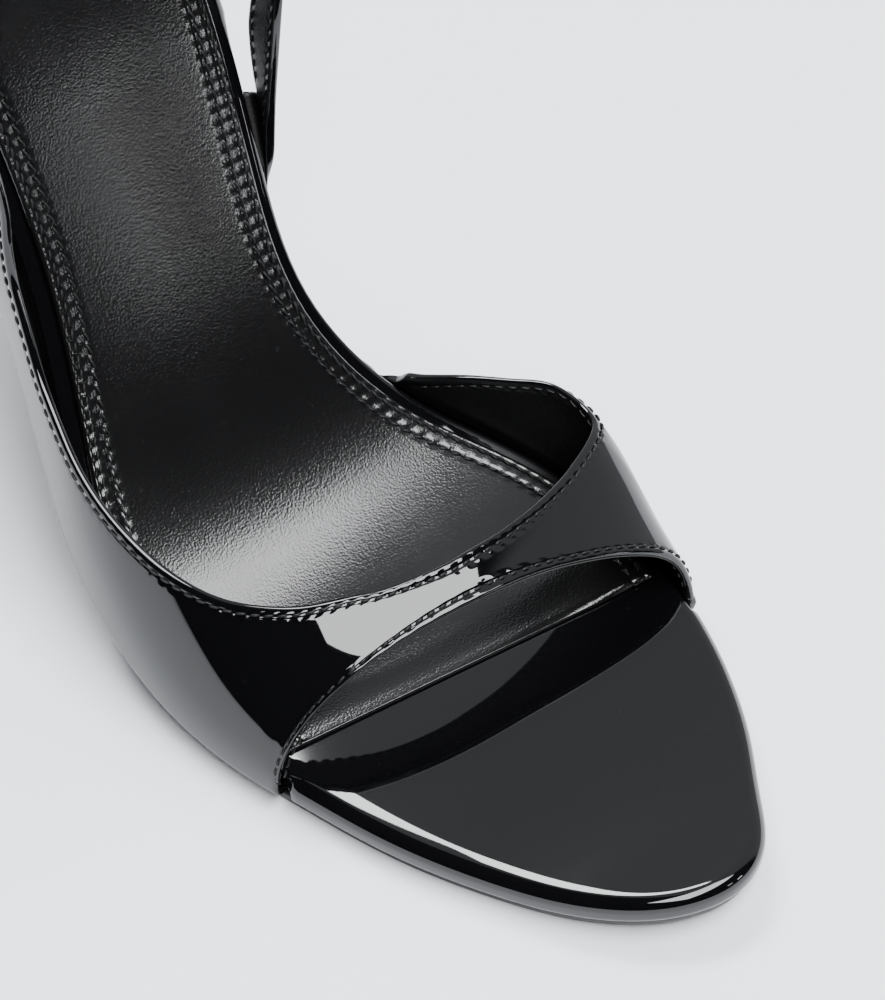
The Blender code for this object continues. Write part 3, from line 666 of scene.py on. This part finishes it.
# %% Seam rows of the sock
RIM_POINTS = 1600
ROW_POINTS = 260
FIRST_STITCH = 0.0018     # from the front edge of the sock to the first stitch
LAST_STITCH_Q = 0.985     # the row ends just in front of the back of the heel
rim_tree = kdtree.KDTree(2 * RIM_POINTS)
fine_q = np.linspace(0.0, 1.0, RIM_POINTS)
for number, side in enumerate((-1, 1)):
    for i, (x, t) in enumerate(rim(fine_q, side, np.zeros(RIM_POINTS))):
        rim_tree.insert((x, t, 0.0), number * RIM_POINTS + i)
rim_tree.balance()
PROFILE_WAY = way(np.stack([PROFILE_T, PROFILE_Z], -1))
edge_mark = sock.data.attributes.new("edge", "FLOAT", "POINT")
along_mark = sock.data.attributes.new("along", "FLOAT", "POINT")
for vert in sock.data.vertices:
    x, t = vert.co.x - shift.x, vert.co.y - shift.y
    edge_mark.data[vert.index].value = rim_tree.find((x, t, 0.0))[2]
    along_mark.data[vert.index].value = float(np.interp(t, PROFILE_T, PROFILE_WAY))


def sock_line(side, inset):
    first_t = SOCK_FRONT * LENGTH - side * SOCK_SLANT + FIRST_STITCH
    q = np.linspace(q_of(first_t), LAST_STITCH_Q, ROW_POINTS)
    plan = rim(q, side, np.full(ROW_POINTS, inset))
    t = plan[:, 1]
    full = np.abs(half_width(q, 1)) + np.abs(half_width(q, -1)) - 2 * SOCK_INSET
    share = np.clip((inset - SOCK_INSET) / np.maximum(full, inset), 0.0, 0.5)
    line = under_bed(plan, -GAP - sock_thickness(t, share if side < 0 else 1 - share))
    lean = bed_lean(t)
    return line, np.stack([0 * t, -np.sin(lean), np.cos(lean)], -1)


for k, inset in enumerate(SOCK_LINES):
    rows = [sock_line(side, inset) for side in (-1, 1)]
    bead_rows(f"sock_stitches_{k + 1}", rows, SOCK_STITCH, SOCK_THREAD,
              np.radians(STITCH_SKEW if k else -STITCH_SKEW))

# %% [markdown]
# The sole is plain leather about 2 mm thick with a square edge, set in a little from
# the rim of the bed and ending in front of the heel.

# %% Outsole
# way in from the edge, depth under the top of the bed
SOLE_EDGE = (
    (0.0007, SOLE_AND_BED), (0.0003, SOLE_AND_BED - 0.0001), (0.0, SOLE_AND_BED - 0.0004),
    (0.0, BED + GAP + 0.0003), (0.0001, BED + GAP + 0.0001), (0.0004, BED + GAP),
)


def build_sole():
    q = np.linspace(0.0, q_of(BREAST * LENGTH - GAP), 150)
    rings = [cross_rows(q, 24, SOLE_INSET + inset, depth) for inset, depth in SOLE_EDGE]
    return slab("outsole_leather", sole_leather, rings)


sole = build_sole()
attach(sole, "root")
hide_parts("outsole")

# %% [markdown]
# The upper is drawn on the last: across the foot it is a flattened arch whose flanks
# swell a little, and along the foot its crown rises with the instep. Below the rim
# of the bed the leather goes on straight down, turns round the feather edge and ends
# as a skived margin that is glued under the bed.

# %% The last over the bed
def width_at(t, side):
    q = q_of(np.clip(t, 1e-5, LENGTH - 1e-5))
    return TIP_LEAN * np.exp(-np.asarray(t) / TIP_FADE) + side * half_width(q, side)


def last(t, index, size):
    return size * smooth(t, column(LAST, 0) * LENGTH, column(LAST, index), SIDE_SOFT)


def stand_out(t, side):
    small = 0.0005
    slope = (width_at(t + small, side) - width_at(t - small, side)) / (2 * small)
    return last(t, 1 if side > 0 else 2, BALL_WIDTH) * np.sqrt(1 + slope**2)


def last_point(t, turn):
    inner = width_at(t, 1) + stand_out(t, 1)
    outer = width_at(t, -1) - stand_out(t, -1)
    middle, reach = (inner + outer) / 2, (inner - outer) / 2
    angle = np.pi * np.clip(turn, 0.0, 1.0)
    swell = np.where(turn > 0.5, last(t, 4, BALL_WIDTH), -last(t, 5, BALL_WIDTH))
    x = middle - reach * np.cos(angle) + swell * np.sin(2 * angle)**2
    lean = bed_lean(t) * (1 - np.sin(angle))**2
    z = bed_height(t) - WALL_DROP * np.cos(lean) + last(t, 3, INSTEP) * np.sin(angle)
    return np.stack([x, t + WALL_DROP * np.sin(lean), z], -1)


FOLD_DOWN = BED - WALL_DROP - FEATHER
FOLD_ROUND = FEATHER * np.pi / 2
FOLD = FOLD_DOWN + FOLD_ROUND + MARGIN
MARGIN_AT = (1.0, (FOLD_DOWN + FOLD_ROUND) / FOLD, (FOLD_DOWN + FOLD_ROUND / 2) / FOLD,
             FOLD_DOWN / FOLD, 0.0)
MARGIN_ROWS = len(MARGIN_AT) - 1


def margin_point(t, side, share):
    run = share * FOLD
    corner = np.clip((run - FOLD_DOWN) / FOLD_ROUND, 0.0, 1.0) * np.pi / 2
    under = np.clip(run - FOLD_DOWN - FOLD_ROUND, 0.0, MARGIN)
    depth = WALL_DROP + np.clip(run, 0.0, FOLD_DOWN) + FEATHER * np.sin(corner)
    plan = np.stack([width_at(t, side) + side * stand_out(t, side), t], -1)
    past = np.clip(last(t, 1 if side > 0 else 2, BALL_WIDTH) - WALL - GAP, 0.0, None)
    inward = FEATHER * (1 - np.cos(corner)) + under
    inward = (inward + past * np.clip(run / (FOLD_DOWN + FOLD_ROUND), 0, 1))[..., None]
    q = q_of(t)
    square = rim(q, side, np.ones(np.shape(q))) - rim(q, side, np.zeros(np.shape(q)))
    return under_bed(plan + square * inward, depth)


def upper_point(t, turn):
    over = last_point(t, turn)
    outer = margin_point(t, -1, np.clip(-turn, 0.0, 1.0))
    inner = margin_point(t, 1, np.clip(turn - 1.0, 0.0, 1.0))
    return np.where((turn < 0)[..., None], outer, np.where((turn > 1)[..., None], inner, over))


# %% [markdown]
# The band and the sling are one ring of leather. Its lower and upper edge come from
# the rows of the table; the wall is laid between them in even steps and then given
# its thickness inwards, where the lining lies. Each point carries its way to the
# nearer edge, for the stitched seam that runs round the whole band.

# %% Upper
BAND_STEP = 0.0017
SLING_STEP = 0.0042
WALL_ROWS = 10


def band_rows():
    low_t, low_turn, top_t, top_turn = (column(BAND, k) for k in range(4))
    low = upper_point(low_t * LENGTH, low_turn)
    top = upper_point(top_t * LENGTH, top_turn)
    steps = [np.linalg.norm(np.diff(line, axis=0), axis=1) for line in (low, top, (low + top) / 2)]
    at = np.concatenate([[0], np.cumsum(np.maximum((steps[0] + steps[1]) / 2, steps[2]))])
    folded = (low_turn <= 0) | (low_turn >= 1)
    turns_under = np.flatnonzero(folded[1:] != folded[:-1])
    fixed = at[np.unique(np.concatenate([turns_under, turns_under + 1]))]
    s = np.linspace(0, at[-1], int(at[-1] / BAND_STEP))
    near = np.abs(s[:, None] - fixed[None, :]).min(axis=1) < BAND_STEP / 3
    s = np.union1d(s[~near | (s == 0) | (s == at[-1])], fixed)
    rows, turns = [], []
    for a, b, c, d in zip(*(smooth(s, at, line) for line in (low_t, low_turn, top_t, top_turn))):
        side = -1 if b < 0.5 else 1
        if b < 1e-6 or b > 1 - 1e-6:
            fold = (0.0 if side < 0 else 1.0) + side * np.array(MARGIN_AT)
            fold = np.maximum(fold, d) if side > 0 else fold
        else:
            fold = np.full(len(MARGIN_AT), b)
        w = np.linspace(0, 1, WALL_ROWS + 1)[1:]
        turn = np.concatenate([fold, fold[-1] + (d - fold[-1]) * w])
        t = np.concatenate([np.full(len(fold), a), a + (c - a) * w])
        rows.append(upper_point(t * LENGTH, turn))
        turns.append(turn)
    return np.array(rows), np.array(turns)


def sling_rows(first, last_row):
    knots = np.array([(x * BALL_WIDTH, t * LENGTH, z * LENGTH) for t, x, z in SLING])
    ends = [r[MARGIN_ROWS:].mean(axis=0) for r in (first[1], first[0], last_row[-1], last_row[-2])]
    path = np.vstack([ends[0], ends[1], knots, ends[2], ends[3]])
    at = np.concatenate([[0], np.cumsum(np.linalg.norm(np.diff(path, axis=0), axis=1))])
    count = int((at[-2] - at[1]) / SLING_STEP)
    s = np.linspace(at[1], at[-2], count + 1)
    line = np.stack([smooth(s, at, path[:, k], SLING_SOFT, False) for k in range(3)], -1)
    line[0], line[-1] = ends[1], ends[2]
    run = np.gradient(line, axis=0)
    run /= np.linalg.norm(run, axis=1, keepdims=True)
    outward = np.stack([-run[:, 1], run[:, 0], 0 * run[:, 0]], -1)
    outward /= np.linalg.norm(outward, axis=1, keepdims=True)
    up = np.cross(run, outward)
    up *= np.sign(up[:, 2:3])
    far = np.minimum(np.arange(len(s)), np.arange(len(s))[::-1]) * SLING_STEP
    ease = eased(np.clip(far / SLING_EASE, 0, 1))[:, None]
    first_half = (np.arange(len(s)) < len(s) / 2)[:, None]
    end_up = np.where(first_half, first[0][-1] - first[0][MARGIN_ROWS],
                      last_row[-1][-1] - last_row[-1][MARGIN_ROWS])
    span = np.linalg.norm(end_up, axis=1, keepdims=True)
    across = up * ease + end_up / span * (1 - ease)
    across /= np.linalg.norm(across, axis=1, keepdims=True)
    width = STRAP_WIDTH * ease + span * (1 - ease)
    v = np.linspace(-0.5, 0.5, WALL_ROWS + 1)
    rows = line[:, None] + (across * width)[:, None] * v[None, :, None]
    fold = np.repeat(rows[:, :1], MARGIN_ROWS, axis=1)
    return np.concatenate([fold, rows], axis=1)[1:-1]


def build_upper():
    band, turns = band_rows()
    sling = sling_rows(band[:2], band[-2:])
    ring = np.concatenate([band, sling[::-1]])
    turns = np.concatenate([turns, np.full(sling.shape[:2], 0.5)])
    under = np.maximum(-turns, turns - 1).clip(0, 1) * FOLD / (FOLD_DOWN + FOLD_ROUND / 2)
    wall = 1 - (1 - MARGIN_WALL / WALL) * under.clip(0, 1)
    folded = under[:, 0] > 0
    run = np.array([way(row) for row in ring])
    to_edge = np.minimum(run, run[:, -1:] - run)
    round_way = way(ring[:, -1])
    bm = bmesh.new()
    deform = bm.verts.layers.deform.verify()
    edge_layer = bm.verts.layers.float.new("edge")
    along_layer = bm.verts.layers.float.new("along")
    grid = [[bm.verts.new(p) for p in row] for row in ring]
    for row, shares, edges, at in zip(grid, wall, to_edge, round_way):
        for vert, share, edge in zip(row, shares, edges):
            vert[deform][0] = share
            vert[edge_layer] = edge
            vert[along_layer] = at
    for i in range(len(grid)):
        k = (i + 1) % len(grid)
        start = 0 if folded[i] and folded[k] else MARGIN_ROWS
        for j in range(start, MARGIN_ROWS + WALL_ROWS):
            bm.faces.new((grid[i][j], grid[k][j], grid[k][j + 1], grid[i][j + 1]))
    loose = [vert for vert in bm.verts if not vert.link_faces]
    bmesh.ops.delete(bm, geom=loose, context="VERTS")
    bmesh.ops.remove_doubles(bm, verts=bm.verts, dist=2e-6)
    bmesh.ops.dissolve_degenerate(bm, edges=bm.edges, dist=1e-6)
    mesh = bpy.data.meshes.new("upper_leather")
    bm.to_mesh(mesh)
    bm.free()
    mesh.transform(Matrix.Translation(shift))
    mesh.shade_smooth()
    mesh.materials.append(band_patent)
    mesh.materials.append(lining)
    piece = bpy.data.objects.new("upper_leather", mesh)
    bpy.context.scene.collection.objects.link(piece)
    piece.vertex_groups.new(name="wall")
    shell = piece.modifiers.new("wall", "SOLIDIFY")
    shell.thickness = WALL
    shell.offset = -1.0
    shell.use_even_offset = False
    shell.vertex_group = "wall"
    shell.material_offset = 1
    finer = piece.modifiers.new("finer", "SUBSURF")
    finer.levels = 2
    finer.render_levels = 2
    return piece, ring, turns, folded


upper, ring, ring_turns, ring_folded = build_upper()
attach(upper, "root")
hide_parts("upper")
print("stations round the upper:", len(ring))

# %% [markdown]
# One row of stitches follows each free edge of the band and the sling, 1.5 mm in.
# The same thread shows on the lining side. Where the edge is glued under the bed or
# runs below it there is none.

# %% Seam rows of the upper
def seam_line(top):
    """Points and outward directions 1.5 mm in from the upper or lower edge."""
    rows = ring[:, ::-1] if top else ring[:, MARGIN_ROWS:]
    line = []
    for row in rows:
        run = way(row)
        line.append([np.interp(SEAM_LINE, run, row[:, k]) for k in range(3)])
    line = np.array(line)
    along = np.roll(line, -1, axis=0) - np.roll(line, 1, axis=0)
    up = ring[:, -1] - ring[:, MARGIN_ROWS]
    return line, unit(np.cross(along, up))


def open_runs(line, out, free):
    """Cut the closed line into the stretches whose stations are free."""
    first = int(np.flatnonzero(~free)[0])
    order = np.roll(np.arange(len(free)), -first)
    rows, run = [], []
    for i in order:
        if free[i]:
            run.append(i)
        elif run:
            rows.append(run)
            run = []
    if run:
        rows.append(run)
    return [(line[run], out[run]) for run in rows if len(run) > 3]


seam_rows = []
top_line, top_out = seam_line(True)
seam_rows += open_runs(top_line, top_out, ring_turns[:, -1] < 0.99)
low_line, low_out = seam_line(False)
seam_rows += open_runs(low_line, low_out, ~ring_folded)
bead_rows("upper_stitches", seam_rows, BAND_STITCH, BAND_THREAD, BAND_SKEW)
inside_rows = [(line - out * WALL, -out) for line, out in seam_rows]
bead_rows("lining_stitches", inside_rows, BAND_STITCH, LINING_THREAD, -BAND_SKEW)

# %% [markdown]
# The heel is a slim plastic block covered with the same patent leather. Its top
# follows the seat of the bed; going down, the section turns from the seat's outline
# to a small oval. A rubber top piece closes it.

# %% Heel and top piece
HEEL_RINGS = 64
SEAT_POINTS = 48
SHARP = np.radians(48)


def build_heel():
    q = np.linspace(q_of(BREAST * LENGTH), 1.0, SEAT_POINTS)
    inset = np.full(SEAT_POINTS, SEAT_INSET)
    back = np.concatenate([rim(q, 1, inset), rim(q, -1, inset)[-2::-1]])
    shares = np.linspace(0.0, 1.0, 18)[1:-1, None]
    seat = np.concatenate([back, back[-1] * (1 - shares) + back[0] * shares])
    middle = (seat.max(axis=0) + seat.min(axis=0)) / 2
    reach = (seat.max(axis=0) - seat.min(axis=0)) / 2
    square = (seat - middle) / reach
    angles = np.arctan2(square[:, 1], square[:, 0])
    oval = np.stack([np.cos(angles), np.sin(angles)], -1)
    top = under_bed(seat, BED + GAP)
    foot = HEEL_TIP + GAP
    rings = [under_bed(middle + (seat - middle) * scale, BED + GAP) for scale in (0.02, 0.5, 0.97)]
    rings.append(top)
    for down in np.linspace(0.0, 1.0, HEEL_RINGS)[1:]:
        front, rear, half = (float(smooth(down, column(HEEL, 0), column(HEEL, k))) for k in (1, 2, 3))
        share = min(down / 0.3, 1.0)
        form = square * (1 - share) + oval * share
        x = middle[0] + form[:, 0] * half * BALL_WIDTH
        t = (front + rear) / 2 * LENGTH + form[:, 1] * (rear - front) / 2 * LENGTH
        row = np.stack([x, t, top[:, 2] * (1 - down) + foot * down], -1)
        settled = min(down / HEEL[1][0], 1.0)
        rings.append(top * (1 - settled) + row * settled)
    rings.append(rings[-1] * 0.999 + rings[-1].mean(axis=0) * 0.001)
    return loft("heel_block", patent, rings)


def loft(name, material, rings):
    count = len(rings[0])
    faces = []
    for k in range(len(rings) - 1):
        low, high = k * count, (k + 1) * count
        for i in range(count):
            j = (i + 1) % count
            faces.append((low + i, low + j, high + j, high + i))
    faces.append(tuple(range(count)))
    faces.append(tuple((len(rings) - 1) * count + i for i in range(count)))
    piece = link_mesh(name, np.concatenate(rings), faces, material)
    tidy_normals(piece)
    piece.data.set_sharp_from_angle(angle=SHARP)
    return piece


def build_top_piece():
    front, rear, half = HEEL[-1][1:]
    here = np.array([0.9])
    middle = ((rim(here, 1, np.zeros(1)) + rim(here, -1, np.zeros(1))) / 2)[0]
    angles = np.linspace(0, 2 * np.pi, 72, endpoint=False)
    rings = []
    for z, share in ((HEEL_TIP, 0.97), (HEEL_TIP - 0.0003, 1.0), (0.0006, 1.0),
                     (0.0002, 0.975), (0.0, 0.93)):
        x = middle[0] + np.cos(angles) * half * BALL_WIDTH * share
        t = (front + rear) / 2 * LENGTH + np.sin(angles) * (rear - front) / 2 * LENGTH * share
        rings.append(np.stack([x, t, np.full(72, z)], -1))
    return loft("heel_top_piece", rubber, rings)


heel = build_heel()
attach(heel, "root")
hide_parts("heel")
top_piece = build_top_piece()
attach(top_piece, "root")
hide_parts("heel_tip")

# %% [markdown]
# The camera looks down on the shoe from its front outer side, steeply and with a
# long lens, as in the photograph.

# %% Camera
def aim(position, ahead, up_hint):
    ahead = Vector(ahead).normalized()
    right = ahead.cross(Vector(up_hint)).normalized()
    up = right.cross(ahead)
    turn = Matrix((right, up, -ahead)).transposed().to_4x4()
    return Matrix.Translation(position) @ turn


EYE = Vector((-0.35196, -0.39335, 0.81093))
LOOK = Vector((0.01289, 0.07229, 0.02000))
camera = bpy.data.objects.new("camera", bpy.data.cameras.new("camera"))
bpy.context.scene.collection.objects.link(camera)
camera.matrix_world = aim(EYE + shift, LOOK - EYE, (0, 0, 1))
camera.data.sensor_width = 36.0
camera.data.lens = 245.1
camera.data.clip_end = 50.0
bpy.context.scene.camera = camera

# %% [markdown]
# A black gloss shows nothing but its surroundings, so the studio is laid out from
# what the leather mirrors in the photograph. Directions are compass angles from
# straight behind the shoe (0) over its inner side (90) to straight in front (180),
# with a height over the floor. A large softbox hangs over the front and gives the
# white field on the band. A smaller one behind draws the glint round the toe. Two
# low ones light the sock's two sides at the waist, and a grey wall on the inner side
# fills the flat bed.

# %% Floor
FLOOR_REACH = 6.0
corners = [(x * FLOOR_REACH, y * FLOOR_REACH, 0) for x, y in ((-1, -1), (1, -1), (1, 1), (-1, 1))]
floor_mesh = bpy.data.meshes.new("floor")
floor_mesh.from_pydata(corners, [], [(0, 1, 2, 3)])
floor_mat = bpy.data.materials.new("floor")
floor_mat.use_nodes = True
floor_shader = floor_mat.node_tree.nodes["Principled BSDF"]
floor_shader.inputs["Base Color"].default_value = (0.90, 0.915, 0.945, 1.0)
floor_shader.inputs["Roughness"].default_value = 0.9
floor_shader.inputs["Specular IOR Level"].default_value = 0.1
floor_mesh.materials.append(floor_mat)
floor = bpy.data.objects.new("floor", floor_mesh)
bpy.context.scene.collection.objects.link(floor)

# %% Studio
WALL_FROM, WALL_TO = np.radians(-4), np.radians(112)
WALL_EDGE = np.radians(6)
WALL_GREY = (0.80, 0.82, 0.86, 1.0)
DARK = (0.018, 0.018, 0.020, 1.0)
COOL_WHITE = (0.97, 0.985, 1.0)
STUDIO_RADIUS = 2.2

world = bpy.data.worlds.new("studio")
world.use_nodes = True
tree = world.node_tree
way_out = tree.nodes.new("ShaderNodeSeparateXYZ")
put(tree, tree.nodes.new("ShaderNodeTexCoord").outputs["Generated"], way_out.inputs[0])
compass = maths(tree, "ARCTAN2", way_out.outputs[0], way_out.outputs[1])
begins = ramp(tree, compass, WALL_FROM - WALL_EDGE, WALL_FROM + WALL_EDGE)
ends = ramp(tree, compass, WALL_TO + WALL_EDGE, WALL_TO - WALL_EDGE)
mix = tree.nodes.new("ShaderNodeMix")
mix.data_type = "RGBA"
put(tree, maths(tree, "MULTIPLY", begins, ends), mix.inputs["Factor"])
mix.inputs["A"].default_value = DARK
mix.inputs["B"].default_value = WALL_GREY
put(tree, mix.outputs["Result"], tree.nodes["Background"].inputs["Color"])
bpy.context.scene.world = world


def softbox(name, compass_deg, height_deg, wide_deg, tall_deg, radiance, roll=0.0):
    """A rectangle of light that covers the given angles as seen from the shoe."""
    side, rise = np.radians(compass_deg), np.radians(height_deg)
    place = STUDIO_RADIUS * Vector((np.sin(side) * np.cos(rise), np.cos(side) * np.cos(rise),
                                    np.sin(rise)))
    light = bpy.data.lights.new(name, "AREA")
    light.shape = "RECTANGLE"
    light.size = 2 * STUDIO_RADIUS * np.tan(np.radians(wide_deg) / 2)
    light.size_y = 2 * STUDIO_RADIUS * np.tan(np.radians(tall_deg) / 2)
    light.energy = radiance * np.pi * light.size * light.size_y
    light.color = COOL_WHITE
    obj = bpy.data.objects.new(name, light)
    bpy.context.scene.collection.objects.link(obj)
    obj.matrix_world = aim(place, -place, (-np.sin(np.radians(roll)), 0.002, 1))


# name, compass angle, height, width and tallness in degrees, radiance
softbox("over_front", 180, 67, 48, 25, 20.0, roll=14)
softbox("behind", 12, 57, 26, 14, 33.0)
softbox("low_left", 160, 19.5, 7, 7, 8.0)
softbox("low_right", 147, 14.5, 7, 7, 14.0)
print("lights:", [light.name for light in bpy.data.lights])
